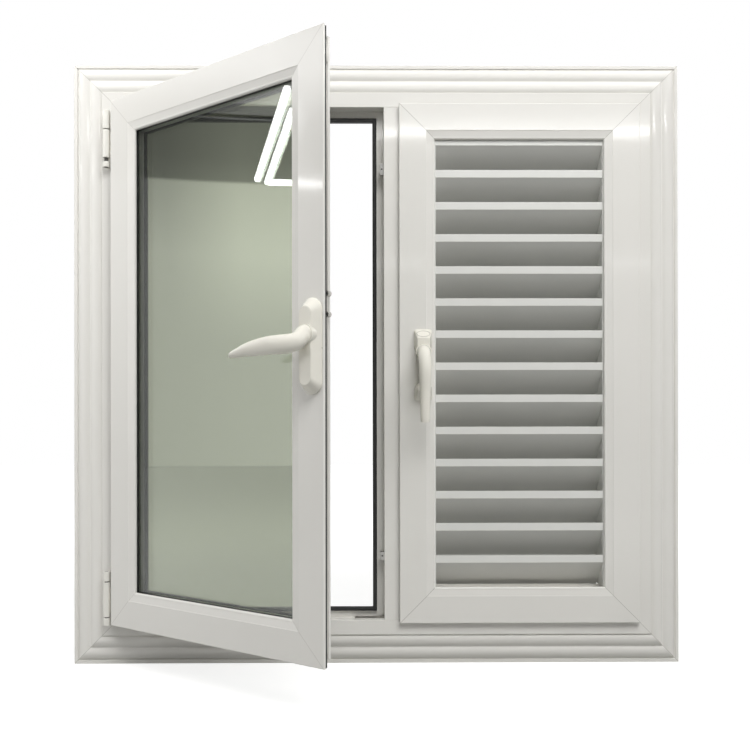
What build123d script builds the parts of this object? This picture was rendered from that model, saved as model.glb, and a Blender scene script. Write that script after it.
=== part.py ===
from build123d import *
import os

# A double casement window seen from the room: the left sash is glazed and stands open,
# the right sash is closed and holds fixed louvre blades.
# X runs to the right, Z up, and -Y points into the room. The origin is on the flat back of
# the sill's casing flange, where it lies against the wall. Sizes are millimetres, degrees for angles.

# Whole window
OUTER_WIDTH = 905.0
OUTER_HEIGHT = 895.0

# Frame member section: casing moulding, flat, tube in the wall opening, stop leg
CASING_WIDTH = 44.0
FLAT_WIDTH = 22.0
FLAT_PROUD = 13.0
FRAME_DEPTH = 42.0
FRAME_WALL = 1.8
LIP_WIDTH = 5.0
LIP_HEIGHT = 4.0
GROOVE_WIDTH = 1.5
GROOVE_HEIGHT = 2.6
REED_COUNT = 2
REED_RISE = 4.0
REED_VALLEY_ROUND = 2.5
VALLEY_TOP = 10.0
REBATE_DEPTH = 20.0
STOP_REACH = 10.6
STOP_THICKNESS = 1.8
STOP_GASKET_WIDTH = 6.0
STOP_GASKET_HEIGHT = 5.0
STOP_GASKET_GRIP = 2.2
FRAME_EDGE_ROUND = 0.8
LIP_ROUND = 0.7

# Mullion and the width of the left light
LEFT_LIGHT_WIDTH = 397.0
MULLION_WIDTH = 26.5

# Sash section: flange over the frame, body in the rebate, rear leg behind the infill
SASH_LAP = 4.0
SASH_FACE = 40.5
FLANGE_THICKNESS = 4.0
SEAL_THICKNESS = 3.0
SEAL_INSET = 0.8
SEAL_WIDTH = 2.6
BODY_INSET = 7.5
SHOULDER_INSET = 21.0
SASH_DEPTH = 32.0
SASH_WALL = 1.8
SASH_EDGE_ROUND = 1.2
SASH_JOINT_ROUND = 0.5
REAR_LEG = 2.0
BEAD_WIDTH = 12.5
BEAD_DEPTH = 5.6
BEAD_FALL = 2.0
BEAD_NOSE = 3.5
BEAD_FOOT = 3.5
BEAD_FOOT_DEPTH = 8.4
LOCK_GROOVE_START = 8.0
LOCK_GROOVE_WIDTH = 10.0
LOCK_GROOVE_DEPTH = 4.5

# Double glazing of the left sash
PANE_THICKNESS = 5.0
SPACER_WIDTH = 9.0
SPACER_HEIGHT = 7.0
PANE_EDGE_GAP = 3.5
BEAD_GASKET = 2.9

# Opening of the left sash
SASH_OPENING_ANGLE = 37.0

# Barrel hinges
HINGE_EDGE_GAP = 9.0
HINGE_RADIUS = 5.1
HINGE_PIN_RADIUS = 3.0
HINGE_BORE_GAP = 0.05
HINGE_RING_GAP = 1.6
LEAF_THICKNESS = 2.5
LEAF_REACH = 16.0
LEAF_END_GAP = 0.5
TOP_HINGE_DROP = 12.4
TOP_HINGE_KNUCKLES = (8.0, 41.0, 27.0)
TOP_HINGE_SLACK = 6.0
BOTTOM_HINGE_OVERHANG = 1.0
BOTTOM_HINGE_KNUCKLES = (11.0, 51.0, 14.0)
BOTTOM_HINGE_SLACK = 1.6

# Louvre blades of the right sash
BLADE_PITCH = 47.8
BLADE_LIP = 10.4
BLADE_RUN = 40.0
BLADE_FALL = 40.0
BLADE_TAIL = 8.0
BLADE_THICKNESS = 1.5
BLADE_SETBACK = 6.6
TOP_LIP_RISE = 3.4
CARRIER_THICKNESS = 1.5

# Handle bases: oblong roses that slope to a narrower front; the left one has round ends, the
# right one square ends with rounded corners and a waist. A waist's heights are over the base's
# middle: where it starts and is fully in, from above and from below.
LEFT_BASE_HEIGHT = 116.5
LEFT_BASE_WIDTH = 29.5
LEFT_BASE_END_SLOPE = 11.0
RIGHT_BASE_HEIGHT = 105.0
RIGHT_BASE_WIDTH = 26.2
RIGHT_BASE_END_SLOPE = 14.0
RIGHT_BASE_CORNER = 4.0
RIGHT_BASE_FRONT_CORNER = 2.0
RIGHT_WAIST_WIDTH = 9.0
RIGHT_WAIST_FRONT_WIDTH = 6.0
RIGHT_WAIST_ABOVE = (26.0, -6.0)
RIGHT_WAIST_BELOW = (-34.0, -24.0)
RIGHT_BASE_FRONT_ROUND = 0.8
BASE_RISE = 15.0
BASE_WALL = 2.5
BASE_FRONT_WIDTH = 18.5
LEFT_BASE_FRONT_ROUND = 1.5
COLLAR_RISE = 1.5
COLLAR_WIDTH = 1.6
LEFT_BASE_EDGE_DISTANCE = 17.0
RIGHT_BASE_EDGE_DISTANCE = 35.0
LEFT_BASE_ABOVE_MIDDLE = 0.7
RIGHT_BASE_ABOVE_MIDDLE = -2.8
LEFT_PIVOT_ABOVE_BASE_MIDDLE = 13.0
RIGHT_PIVOT_ABOVE_BASE_MIDDLE = 18.7

# Levers: a round neck, an elbow and a flat grip
LEVER_STANDOFF = 43.0
NECK_RADIUS = 11.5
LEFT_LEVER_LENGTH = 100.0
LEFT_LEVER_WIDTH = 22.8
LEFT_LEVER_THICKNESS = 14.0
LEFT_LEVER_DROP = 13.2
LEFT_LEVER_TIP_WIDTH = 7.0
RIGHT_LEVER_LENGTH = 103.7
RIGHT_LEVER_WIDTH = 18.2
RIGHT_LEVER_THICKNESS = 13.0
RIGHT_LEVER_TIP_WIDTH = 13.0
RIGHT_NECK_RADIUS = 10.0

# Oval sections of the levers. Neck: share of the drop sideways, of the standoff and of the
# length, lean down, half width in neck radii, half thickness in neck radii. Grip: share of the
# length, half width and half thickness in those of the lever, setback.
LEFT_NECK_SECTIONS = (
    (0.0, 0.0, 0.0, 0.0, 1.0, 1.0),
    (0.45, 0.3, 0.0, 0.05, 1.0, 0.98),
    (0.9, 0.75, 0.025, 0.7, 0.99, 0.85),
)
LEFT_GRIP_SECTIONS = (
    (0.16, 1.0, 1.1, 0.0),
    (0.36, 0.97, 0.99, 0.0),
    (0.58, 0.84, 0.93, 0.5),
    (0.76, 0.66, 0.85, 1.5),
    (0.9, 0.46, 0.76, 3.0),
)
LEFT_TIP_THICKNESS = 0.4
LEFT_TIP_SETBACK = 4.0
RIGHT_NECK_SECTIONS = (
    (0.0, 0.0, 0.0, 0.0, 1.0, 1.0),
    (0.0, 0.4, 0.03, 0.3, 0.97, 0.95),
    (0.0, 0.8, 0.115, 1.1, 0.94, 0.8),
)
RIGHT_GRIP_SECTIONS = (
    (0.25, 0.0, 1.05, 0.0),
    (0.5, 0.33, 0.9, 0.0),
    (0.75, 0.67, 0.82, 0.0),
    (1.0, 1.0, 0.75, 0.0),
)

# Lock hardware
LOCK_STRIP_THICKNESS = 2.4
LOCK_STRIP_WIDTH = 8.0
LOCK_STRIP_END_GAP = 14.0
STRIP_SLOTS = ((39.0, 19.0), (78.3, 8.3), (125.9, 4.8), (374.8, 21.5))
STRIP_SLOT_WIDTH = 4.2
LOCK_BLOCK_HEIGHT = 32.0
LOCK_BLOCK_REACH = 7.0
LOCK_BLOCK_THICKNESS = 6.0
LOCK_BLOCK_WAIST = 3.0
LOCK_BLOCK_ABOVE_MIDDLE = 36.0
KEEPER_REACH = 6.0
KEEPER_WIDTH = 8.0
KEEPER_ROUND = 2.0
UPPER_KEEPER_HEIGHT = 17.0
UPPER_KEEPER_DROP = 83.0
LOWER_KEEPER_HEIGHT = 12.0
LOWER_KEEPER_RISE = 89.0
SILL_KEEPER_LENGTH = 44.0
SILL_KEEPER_THICKNESS = 2.5
SILL_KEEPER_WIDTH = 16.0
SILL_KEEPER_HOLE_RADIUS = 1.8
SILL_KEEPER_HOLES = (-0.4, -0.2, 0.2, 0.4)
SILL_KEEPER_SLOT_LENGTH = 8.0

# Places worked out from the sizes above
BOTTOM = -CASING_WIDTH / 2
TOP = BOTTOM + OUTER_HEIGHT
BAND = CASING_WIDTH + FLAT_WIDTH
LIGHT_BOTTOM = BOTTOM + BAND
LIGHT_TOP = TOP - BAND
LIGHT_HEIGHT = LIGHT_TOP - LIGHT_BOTTOM
LEFT_LIGHT_X0 = -OUTER_WIDTH / 2 + BAND
LEFT_LIGHT_X1 = LEFT_LIGHT_X0 + LEFT_LIGHT_WIDTH
RIGHT_LIGHT_X0 = LEFT_LIGHT_X1 + MULLION_WIDTH
RIGHT_LIGHT_X1 = OUTER_WIDTH / 2 - BAND
FLAT_Y = -FLAT_PROUD
STOP_Y = FLAT_Y + REBATE_DEPTH
SASH_FACE_Y = FLAT_Y - SEAL_THICKNESS - FLANGE_THICKNESS
SHOULDER_DEPTH = STOP_Y - STOP_GASKET_HEIGHT - SASH_FACE_Y
SASH_HEIGHT = LIGHT_HEIGHT + 2 * SASH_LAP
SASH_BOTTOM = LIGHT_BOTTOM - SASH_LAP
SASH_MIDDLE = SASH_BOTTOM + SASH_HEIGHT / 2
LEFT_SASH_WIDTH = LEFT_LIGHT_WIDTH + 2 * SASH_LAP
LEFT_SASH_X0 = LEFT_LIGHT_X0 - SASH_LAP
RIGHT_SASH_WIDTH = RIGHT_LIGHT_X1 - RIGHT_LIGHT_X0 + 2 * SASH_LAP
RIGHT_SASH_X0 = RIGHT_LIGHT_X0 - SASH_LAP
SIGHT_LINE = SASH_FACE + BEAD_WIDTH
GLASS_FRONT = BEAD_DEPTH + BEAD_GASKET
GLASS_REAR = GLASS_FRONT + 2 * PANE_THICKNESS + SPACER_WIDTH
AXIS_X = LEFT_SASH_X0 - HINGE_EDGE_GAP
AXIS_Y = SASH_FACE_Y
TOP_HINGE_HEIGHT = sum(TOP_HINGE_KNUCKLES) + TOP_HINGE_SLACK + HINGE_RING_GAP
TOP_HINGE_Z = SASH_BOTTOM + SASH_HEIGHT - TOP_HINGE_DROP - TOP_HINGE_HEIGHT
BOTTOM_HINGE_Z = SASH_BOTTOM - BOTTOM_HINGE_OVERHANG


def outline(*edges):
    """A face from straight runs (two points) and arcs (three points), in order."""
    lines = [Line(*e) if len(e) == 2 else ThreePointArc(*e) for e in edges]
    return make_face(Curve() + lines)


def polygon(*points):
    """A face inside straight lines through the points, closed at the end."""
    return make_face(Polyline(*points, close=True))


def rounded(face, radius, *corners):
    """The face with the corners at these places rounded."""
    picked = [face.vertices().sort_by_distance(Vector(*corner))[0] for corner in corners]
    return fillet(picked, radius)


def box_between(x0, x1, y0, y1, z0, z1):
    """A block between two corners."""
    block = Box(x1 - x0, y1 - y0, z1 - z0)
    return Pos((x0 + x1) / 2, (y0 + y1) / 2, (z0 + z1) / 2) * block


def mitred_bar(section, length):
    """A bar along X with both ends cut at 45 degrees.

    The section's first coordinate is the distance in from the outer edge, along +Z here, and its
    second is Y. The outer edge has the full length."""
    plane = Plane(origin=(length / 2, 0, 0), x_dir=(0, 0, 1), z_dir=(-1, 0, 0))
    bar = extrude(plane * section, amount=length)
    start = Plane(origin=(-length / 2, 0, 0), z_dir=(1, 0, -1))
    end = Plane(origin=(length / 2, 0, 0), z_dir=(-1, 0, -1))
    bar = split(bar, bisect_by=start, keep=Keep.TOP)
    return split(bar, bisect_by=end, keep=Keep.TOP)


def mitred_ring(section, x0, z0, width, height):
    """Four mitred bars round a rectangle: bottom, top, left and right."""
    mid_x = x0 + width / 2
    mid_z = z0 + height / 2
    across = mitred_bar(section, width)
    upright = mitred_bar(section, height)
    return {
        "bottom": Pos(mid_x, 0, z0) * across,
        "top": Pos(mid_x, 0, z0 + height) * Rot(0, 180, 0) * across,
        "left": Pos(x0, 0, mid_z) * Rot(0, 90, 0) * upright,
        "right": Pos(x0 + width, 0, mid_z) * Rot(0, -90, 0) * upright,
    }


def joined_ring(section, x0, z0, width, height):
    """The same ring as one continuous piece, as a gasket is."""
    bars = mitred_ring(section, x0, z0, width, height)
    return bars["bottom"] + bars["top"] + bars["left"] + bars["right"]


def reed_feet():
    """Where the reeds of the casing moulding meet, climbing from the groove to the flat."""
    first = LIP_WIDTH + GROOVE_WIDTH
    step = (CASING_WIDTH - first) / REED_COUNT
    climb = (VALLEY_TOP - GROOVE_HEIGHT) / REED_COUNT
    return [(first + i * step, -GROOVE_HEIGHT - i * climb) for i in range(REED_COUNT + 1)]


def reed_edges():
    """The reeds of the casing moulding: equal arcs from foot to foot."""
    feet = reed_feet()
    edges = []
    for (s0, y0), (s1, y1) in zip(feet, feet[1:]):
        crown = ((s0 + s1) / 2, (y0 + y1) / 2 - REED_RISE)
        edges.append(((s0, y0), crown, (s1, y1)))
    return edges


def frame_section():
    """Casing moulding, flat, tube and stop leg as one hollow extrusion."""
    first = LIP_WIDTH + GROOVE_WIDTH
    shell = outline(
        ((0, 0), (0, -LIP_HEIGHT)),
        ((0, -LIP_HEIGHT), (LIP_WIDTH, -LIP_HEIGHT)),
        ((LIP_WIDTH, -LIP_HEIGHT), (LIP_WIDTH, -GROOVE_HEIGHT)),
        ((LIP_WIDTH, -GROOVE_HEIGHT), (first, -GROOVE_HEIGHT)),
        *reed_edges(),
        ((CASING_WIDTH, -VALLEY_TOP), (CASING_WIDTH, FLAT_Y)),
        ((CASING_WIDTH, FLAT_Y), (BAND, FLAT_Y)),
        ((BAND, FLAT_Y), (BAND, STOP_Y)),
        ((BAND, STOP_Y), (BAND + STOP_REACH, STOP_Y)),
        ((BAND + STOP_REACH, STOP_Y), (BAND + STOP_REACH, STOP_Y + STOP_THICKNESS)),
        ((BAND + STOP_REACH, STOP_Y + STOP_THICKNESS), (BAND, STOP_Y + STOP_THICKNESS)),
        ((BAND, STOP_Y + STOP_THICKNESS), (BAND, FRAME_DEPTH)),
        ((BAND, FRAME_DEPTH), (CASING_WIDTH, FRAME_DEPTH)),
        ((CASING_WIDTH, FRAME_DEPTH), (CASING_WIDTH, 0)),
        ((CASING_WIDTH, 0), (0, 0)),
    )
    tube = polygon(
        (CASING_WIDTH + FRAME_WALL, FLAT_Y + FRAME_WALL),
        (BAND - FRAME_WALL, FLAT_Y + FRAME_WALL),
        (BAND - FRAME_WALL, FRAME_DEPTH - FRAME_WALL),
        (CASING_WIDTH + FRAME_WALL, FRAME_DEPTH - FRAME_WALL),
    )
    chamber = polygon(
        (first + 2 * FRAME_WALL, -FRAME_WALL),
        (first + 2 * FRAME_WALL, -GROOVE_HEIGHT),
        (CASING_WIDTH - FRAME_WALL, -VALLEY_TOP + 2 * FRAME_WALL),
        (CASING_WIDTH - FRAME_WALL, -FRAME_WALL),
    )
    section = shell - tube - chamber
    section = rounded(section, REED_VALLEY_ROUND, *reed_feet()[1:-1])
    section = rounded(section, FRAME_EDGE_ROUND, (CASING_WIDTH, FLAT_Y), (BAND, FLAT_Y))
    return rounded(section, LIP_ROUND, (0, -LIP_HEIGHT), (LIP_WIDTH, -LIP_HEIGHT))


def sash_section():
    """Flange, body with the lock groove, rear leg, and the pocket for the infill."""
    shell = polygon(
        (0, 0),
        (SASH_FACE, 0),
        (SASH_FACE, SASH_DEPTH - REAR_LEG),
        (SIGHT_LINE, SASH_DEPTH - REAR_LEG),
        (SIGHT_LINE, SASH_DEPTH),
        (SHOULDER_INSET, SASH_DEPTH),
        (SHOULDER_INSET, SHOULDER_DEPTH),
        (BODY_INSET, SHOULDER_DEPTH),
        (BODY_INSET, LOCK_GROOVE_START + LOCK_GROOVE_WIDTH),
        (BODY_INSET + LOCK_GROOVE_DEPTH, LOCK_GROOVE_START + LOCK_GROOVE_WIDTH),
        (BODY_INSET + LOCK_GROOVE_DEPTH, LOCK_GROOVE_START),
        (BODY_INSET, LOCK_GROOVE_START),
        (BODY_INSET, FLANGE_THICKNESS),
        (0, FLANGE_THICKNESS),
    )
    inner = BODY_INSET + LOCK_GROOVE_DEPTH + SASH_WALL
    outer = SASH_FACE - SASH_WALL
    step = SHOULDER_INSET + SASH_WALL
    chamber = polygon(
        (inner, SASH_WALL),
        (outer, SASH_WALL),
        (outer, SASH_DEPTH - SASH_WALL),
        (step, SASH_DEPTH - SASH_WALL),
        (step, SHOULDER_DEPTH - SASH_WALL),
        (inner, SHOULDER_DEPTH - SASH_WALL),
    )
    section = rounded(shell - chamber, SASH_EDGE_ROUND, (0, 0), (0, FLANGE_THICKNESS))
    section = rounded(section, SASH_JOINT_ROUND, (SASH_FACE, 0))
    return Pos(0, SASH_FACE_Y) * section


def bead_section():
    """Glazing bead: a falling band, a rounded nose at the sight line and a clip foot."""
    nose = SIGHT_LINE - BEAD_NOSE
    drop = BEAD_FALL + BEAD_NOSE / 2
    foot = SASH_FACE + BEAD_FOOT
    face = outline(
        ((SASH_FACE, SEAL_INSET / 2), (nose, BEAD_FALL)),
        ((nose, BEAD_FALL), (SIGHT_LINE - BEAD_NOSE / 4, BEAD_FALL + BEAD_NOSE / 5), (SIGHT_LINE, drop)),
        ((SIGHT_LINE, drop), (SIGHT_LINE, BEAD_DEPTH)),
        ((SIGHT_LINE, BEAD_DEPTH), (foot, BEAD_DEPTH)),
        ((foot, BEAD_DEPTH), (foot, BEAD_FOOT_DEPTH)),
        ((foot, BEAD_FOOT_DEPTH), (SASH_FACE, BEAD_FOOT_DEPTH)),
        ((SASH_FACE, BEAD_FOOT_DEPTH), (SASH_FACE, SEAL_INSET / 2)),
    )
    return Pos(0, SASH_FACE_Y) * face


def strip_section(s0, s1, depth0, depth1):
    """A rectangular strip between two insets and two depths behind the sash face."""
    y0 = SASH_FACE_Y + depth0
    y1 = SASH_FACE_Y + depth1
    return polygon((s0, y0), (s1, y0), (s1, y1), (s0, y1))


def stop_gasket_section():
    """Bulb seal on the tip of the stop leg; its crown meets the shoulder of the closed sash."""
    s0 = STOP_REACH
    s1 = STOP_REACH + STOP_GASKET_WIDTH
    crown = STOP_Y - STOP_GASKET_HEIGHT
    rear = STOP_Y + STOP_GASKET_GRIP
    return outline(
        ((s0, STOP_Y), (s0, crown + 1)),
        ((s0, crown + 1), ((s0 + s1) / 2, crown), (s1, crown + 1)),
        ((s1, crown + 1), (s1, rear)),
        ((s1, rear), (s0, rear)),
        ((s0, rear), (s0, STOP_Y)),
    )


def make_mullion():
    """Upright tube between the lights, coped over the stop legs of the head and sill."""
    x0, x1 = LEFT_LIGHT_X1, RIGHT_LIGHT_X0
    tube = box_between(x0, x1, FLAT_Y, FRAME_DEPTH, LIGHT_BOTTOM, LIGHT_TOP)
    tube = fillet(tube.edges().filter_by(Axis.Z).sort_by(Axis.Y)[:2], FRAME_EDGE_ROUND)
    bore = box_between(
        x0 + FRAME_WALL, x1 - FRAME_WALL,
        FLAT_Y + FRAME_WALL, FRAME_DEPTH - FRAME_WALL,
        LIGHT_BOTTOM, LIGHT_TOP,
    )
    leg_y = STOP_Y + STOP_THICKNESS
    legs = box_between(
        x0 - STOP_REACH, x1 + STOP_REACH, STOP_Y, leg_y,
        LIGHT_BOTTOM + STOP_REACH, LIGHT_TOP - STOP_REACH,
    )
    sill_cope = box_between(x0, x1, STOP_Y, leg_y, LIGHT_BOTTOM, LIGHT_BOTTOM + STOP_REACH)
    head_cope = box_between(x0, x1, STOP_Y, leg_y, LIGHT_TOP - STOP_REACH, LIGHT_TOP)
    return tube + legs - bore - sill_cope - head_cope


def make_blade(length, x0, lip_top):
    """One louvre blade: inner lip, slope down to the outside, and a tail lip."""
    t = BLADE_THICKNESS
    y0 = SASH_FACE_Y + BLADE_SETBACK
    y1 = y0 + BLADE_RUN
    z0 = lip_top - BLADE_LIP
    z1 = z0 - BLADE_FALL
    points = (
        (y0, lip_top),
        (y0 + t, lip_top),
        (y0 + t, z0 + t / 2),
        (y1, z1 + t / 2),
        (y1, z1 - BLADE_TAIL),
        (y1 - t, z1 - BLADE_TAIL),
        (y1 - t, z1 - t / 2),
        (y0, z0 - t / 2),
    )
    plane = Plane(origin=(x0, 0, 0), x_dir=(0, 1, 0), z_dir=(1, 0, 0))
    return extrude(plane * polygon(*points), amount=length)


def make_leaf(z0, z1, plate_y, leg_x):
    """Hinge leaf: a plate from the barrel into the gap, turned into the rebate.

    The turned part stays between the sill and the head."""
    y1 = plate_y + LEAF_THICKNESS
    plate = box_between(AXIS_X, leg_x + LEAF_THICKNESS, plate_y, y1, z0, z1)
    low = max(z0, LIGHT_BOTTOM + LEAF_END_GAP)
    high = min(z1, LIGHT_TOP - LEAF_END_GAP)
    leg = box_between(leg_x, leg_x + LEAF_THICKNESS, plate_y, plate_y + LEAF_REACH, low, high)
    return plate + leg


def make_knuckle(z0, z1):
    """A length of the hinge barrel with rounded ends."""
    barrel = Pos(AXIS_X, AXIS_Y, (z0 + z1) / 2) * Cylinder(HINGE_RADIUS, z1 - z0)
    return fillet(barrel.edges().filter_by(GeomType.CIRCLE), HINGE_RADIUS / 8)


def make_hinge(bottom_z, knuckles, slack):
    """Frame leaf with the two end knuckles, sash leaf with the middle one, and the pin."""
    lower, middle, upper = knuckles
    z1 = bottom_z + lower
    z2 = z1 + slack
    z3 = z2 + middle
    z4 = z3 + HINGE_RING_GAP
    z5 = z4 + upper
    frame_plate_y = FLAT_Y - LEAF_THICKNESS
    sash_plate_y = SASH_FACE_Y + FLANGE_THICKNESS
    frame_leaf = make_knuckle(bottom_z, z1) + make_knuckle(z4, z5)
    for low, high in ((bottom_z, z1), (z4, z5)):
        frame_leaf += make_leaf(low, high, frame_plate_y, LEFT_LIGHT_X0)
    web_x = LEFT_LIGHT_X0
    frame_leaf += box_between(
        web_x, web_x + LEAF_THICKNESS,
        FLAT_Y + LEAF_REACH - 2 * LEAF_THICKNESS, FLAT_Y + LEAF_REACH - LEAF_THICKNESS,
        z1 - LEAF_THICKNESS, z4 + LEAF_THICKNESS,
    )
    body_x = LEFT_SASH_X0 + BODY_INSET
    sash_leaf = make_knuckle(z2, z3)
    inset = middle / 8
    sash_leaf += make_leaf(z2 + inset, z3 - inset, sash_plate_y, body_x - LEAF_THICKNESS)
    pin = Pos(AXIS_X, AXIS_Y, (bottom_z + z5) / 2) * Cylinder(HINGE_PIN_RADIUS, z5 - bottom_z)
    bore = Pos(AXIS_X, AXIS_Y, (bottom_z + z5) / 2) * Cylinder(
        HINGE_PIN_RADIUS + HINGE_BORE_GAP, z5 - bottom_z
    )
    return frame_leaf - bore, sash_leaf - bore, pin


def room_plane(rise, height=0.0):
    """A plane that faces the room at a distance from the sash face and a height."""
    return Plane(origin=(0, -rise, height), x_dir=(1, 0, 0), z_dir=(0, -1, 0))


def waisted_face(width, height, corner, waist):
    """An upright oblong with rounded corners and a waist of the given width."""
    half, top, neck = width / 2, height / 2, waist / 2
    above, below = RIGHT_WAIST_ABOVE, RIGHT_WAIST_BELOW
    upper = [(half, top), (half, above[0]), (neck, above[1])]
    lower = [(neck, below[1]), (half, below[0]), (half, -top)]
    mirrored = [(-x, z) for x, z in reversed(upper + lower)]
    face = polygon(*upper, *lower, *mirrored)
    return fillet(face.vertices(), corner)


def make_handle_base(back, front, front_round, neck_radius, pivot_height):
    """Base of a handle: a low wall, slopes to a narrower front, and a collar for the neck.

    Its back and front outlines have their long side along Y of the drawing plane. It is made
    round its own middle, with Z up and -Y to the room, and its back at Y = 0."""
    wall = extrude(room_plane(0) * back, amount=BASE_WALL)
    slopes = loft([room_plane(BASE_WALL) * back, room_plane(BASE_RISE) * front])
    base = wall + slopes
    face = base.faces().sort_by(Axis.Y)[0]
    base = fillet(face.edges(), front_round)
    collar = extrude(
        room_plane(BASE_RISE / 2, pivot_height) * Circle(neck_radius + COLLAR_WIDTH),
        amount=BASE_RISE / 2 + COLLAR_RISE,
    )
    return base + collar


def lever_loft(stations):
    """A lever through oval sections: place, direction, half width and half thickness of each."""
    sections = []
    for place, direction, half_width, half_thickness in stations:
        plane = Plane(origin=place, x_dir=(1, 0, 0), z_dir=direction)
        sections.append(plane * Ellipse(half_width, half_thickness))
    return loft(sections)


def neck_stations(sections, radius, length, drop):
    """Sections of a lever's neck, from the collar out to the elbow."""
    start = BASE_RISE + COLLAR_RISE
    rise = LEVER_STANDOFF - start
    stations = []
    for side, out, down, lean, wide, thick in sections:
        place = (drop * side, -start - rise * out, -length * down)
        aside = min(side, 1 - side) / 2
        stations.append((place, (aside, -1, -lean), radius * wide, radius * thick))
    return stations


def make_left_lever():
    """Lever whose lower edge is straight and whose upper edge falls in a curve to the tip.

    It starts at the collar round the pivot and is made pointing down, -Z; its straight edge is
    on the +X side, which comes to lie below when the lever is turned level."""
    length = LEFT_LEVER_LENGTH
    half_width, half_tip = LEFT_LEVER_WIDTH / 2, LEFT_LEVER_TIP_WIDTH / 2
    half_thickness = LEFT_LEVER_THICKNESS / 2
    edge = LEFT_LEVER_DROP + half_width
    stations = neck_stations(LEFT_NECK_SECTIONS, NECK_RADIUS, length, LEFT_LEVER_DROP)
    for down, wide, thick, setback in LEFT_GRIP_SECTIONS:
        half = half_width * wide
        place = (edge - half, -LEVER_STANDOFF + setback, -length * down)
        stations.append((place, (0, 0, -1), half, half_thickness * thick))
    tip = (edge - half_tip, -LEVER_STANDOFF + LEFT_TIP_SETBACK, -length)
    stations.append((tip, (0, 0.1, -1), half_tip, half_thickness * LEFT_TIP_THICKNESS))
    return lever_loft(stations)


def make_right_lever():
    """Lever that narrows evenly to a blunt end, pointing down (-Z)."""
    length = RIGHT_LEVER_LENGTH
    half_width, half_tip = RIGHT_LEVER_WIDTH / 2, RIGHT_LEVER_TIP_WIDTH / 2
    half_thickness = RIGHT_LEVER_THICKNESS / 2
    stations = neck_stations(RIGHT_NECK_SECTIONS, RIGHT_NECK_RADIUS, length, 0.0)
    for down, narrowed, thick, setback in RIGHT_GRIP_SECTIONS:
        half = half_width + (half_tip - half_width) * narrowed
        place = (0, -LEVER_STANDOFF + setback, -length * down)
        stations.append((place, (0, 0, -1), half, half_thickness * thick))
    return lever_loft(stations)


parts = {}

# Frame
frame = mitred_ring(frame_section(), -OUTER_WIDTH / 2, BOTTOM, OUTER_WIDTH, OUTER_HEIGHT)
parts["frame_head"] = frame["top"]
parts["frame_sill"] = frame["bottom"]
parts["frame_left_jamb"] = frame["left"]
parts["frame_right_jamb"] = frame["right"]
parts["mullion"] = make_mullion()
parts["left_stop_gasket"] = joined_ring(
    stop_gasket_section(), LEFT_LIGHT_X0, LIGHT_BOTTOM, LEFT_LIGHT_WIDTH, LIGHT_HEIGHT
)
parts["right_stop_gasket"] = joined_ring(
    stop_gasket_section(), RIGHT_LIGHT_X0, LIGHT_BOTTOM, RIGHT_LIGHT_X1 - RIGHT_LIGHT_X0, LIGHT_HEIGHT
)

# Keepers in the left rebate
keeper_y = SASH_FACE_Y + LOCK_GROOVE_START + (LOCK_GROOVE_WIDTH - KEEPER_WIDTH) / 2
for name, low, height in (
    ("upper_keeper", LIGHT_TOP - UPPER_KEEPER_DROP - UPPER_KEEPER_HEIGHT, UPPER_KEEPER_HEIGHT),
    ("lower_keeper", LIGHT_BOTTOM + LOWER_KEEPER_RISE, LOWER_KEEPER_HEIGHT),
):
    keeper = box_between(
        LEFT_LIGHT_X1 - KEEPER_REACH, LEFT_LIGHT_X1, keeper_y, keeper_y + KEEPER_WIDTH, low, low + height
    )
    parts[name] = fillet(keeper.edges().filter_by(Axis.Y).sort_by(Axis.X)[:2], KEEPER_ROUND)
sill_keeper_y = FLAT_Y + 1.0
sill_keeper = box_between(
    LEFT_LIGHT_X1 - SILL_KEEPER_LENGTH, LEFT_LIGHT_X1,
    sill_keeper_y, sill_keeper_y + SILL_KEEPER_WIDTH,
    LIGHT_BOTTOM, LIGHT_BOTTOM + SILL_KEEPER_THICKNESS,
)
keeper_middle = Pos(
    LEFT_LIGHT_X1 - SILL_KEEPER_LENGTH / 2, sill_keeper_y + SILL_KEEPER_WIDTH / 2, LIGHT_BOTTOM
)
for share in SILL_KEEPER_HOLES:
    sill_keeper -= keeper_middle * Pos(share * SILL_KEEPER_LENGTH, 0) * Cylinder(
        SILL_KEEPER_HOLE_RADIUS, 3 * SILL_KEEPER_THICKNESS
    )
slot_face = SlotOverall(SILL_KEEPER_SLOT_LENGTH, 2 * SILL_KEEPER_HOLE_RADIUS)
slot = extrude(slot_face, amount=2 * SILL_KEEPER_THICKNESS)
parts["sill_keeper"] = sill_keeper - keeper_middle * slot

# Left sash, made closed
sash = {}
bars = mitred_ring(sash_section(), LEFT_SASH_X0, SASH_BOTTOM, LEFT_SASH_WIDTH, SASH_HEIGHT)
sash["left_sash_top_rail"] = bars["top"]
sash["left_sash_bottom_rail"] = bars["bottom"]
sash["left_sash_hinge_stile"] = bars["left"]
sash["left_sash_lock_stile"] = bars["right"]
beads = mitred_ring(bead_section(), LEFT_SASH_X0, SASH_BOTTOM, LEFT_SASH_WIDTH, SASH_HEIGHT)
sash["left_cross_beads"] = beads["top"] + beads["bottom"]
sash["left_upright_beads"] = beads["left"] + beads["right"]


def left_ring(section):
    """A continuous ring round the left sash."""
    return joined_ring(section, LEFT_SASH_X0, SASH_BOTTOM, LEFT_SASH_WIDTH, SASH_HEIGHT)


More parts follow.
